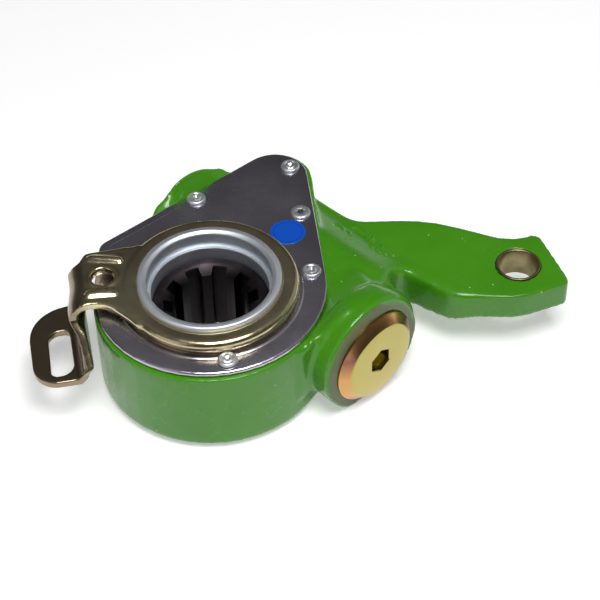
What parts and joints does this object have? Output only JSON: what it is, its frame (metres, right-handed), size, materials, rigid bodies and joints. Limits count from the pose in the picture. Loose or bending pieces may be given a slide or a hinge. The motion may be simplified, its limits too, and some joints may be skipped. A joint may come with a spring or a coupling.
{
  "type": "brake slack adjuster",
  "caption": "Cast lever with a clevis eye, splined worm wheel, worm shaft behind a screwed spring cap, cover plate and a slotted control arm on a sleeve.",
  "frame": {"origin": "on the camshaft spline's axis, in the plane of the lever body's back face", "axes": "+Z along the spline axis towards the cover and control arm, +X from the spline axis through the centre of the clevis hole, +Y to the side away from the spring cap"},
  "size_m": [0.2183, 0.1251, 0.0496],
  "materials": {
    "cast_green": "glossy green enamel over a cast surface",
    "zinc": "bright zinc plate",
    "yellow_zinc": "yellow passivated zinc plate",
    "bronze": "plain sintered bronze",
    "steel": "ground steel",
    "dark_steel": "oiled dark steel",
    "rubber": "black seal rubber",
    "gasket": "dark gasket paper"
  },
  "bodies": {
    "body": {"housing": "cast_green", "cover_gasket": "gasket", "cover_plate": "zinc", "arm_seal": "rubber", "cover_screw_1": "zinc", "cover_screw_2": "zinc", "cover_screw_3": "zinc", "cover_screw_4": "zinc", "cover_screw_5": "zinc", "vent_screw": "zinc", "clevis_bush": "bronze", "hub_seal": "rubber", "journal_seal": "rubber", "journal_bearing": "bronze", "thrust_bearing": "steel", "pressure_spring": "dark_steel", "spring_cap": "yellow_zinc", "cap_seal": "rubber"},
    "wheel": {"worm_wheel": "dark_steel"},
    "worm": {"worm_shaft": "steel", "clutch_ring": "steel"},
    "control": {"control_disc": "zinc", "arm_washer": "yellow_zinc", "control_arm": "yellow_zinc"}
  },
  "joints": [
    {"name": "wheel_spin", "type": "hinge", "parent": "body", "child": "wheel", "pos_m": [0, 0, 0], "axis": [0, 0, 1], "continuous": true},
    {"name": "worm_spin", "type": "hinge", "parent": "body", "child": "worm", "pos_m": [0.02844, 0.01882, 0.0193], "axis": [0.5519, -0.8339, 0], "continuous": true},
    {"name": "control_swing", "type": "hinge", "parent": "body", "child": "control", "pos_m": [0, 0, 0], "axis": [0, 0, 1], "range_deg": [-5, 90]}
  ],
  "couplings": [
    {"joint": "worm_spin", "follows": "wheel_spin", "ratio": 24}
  ]
}
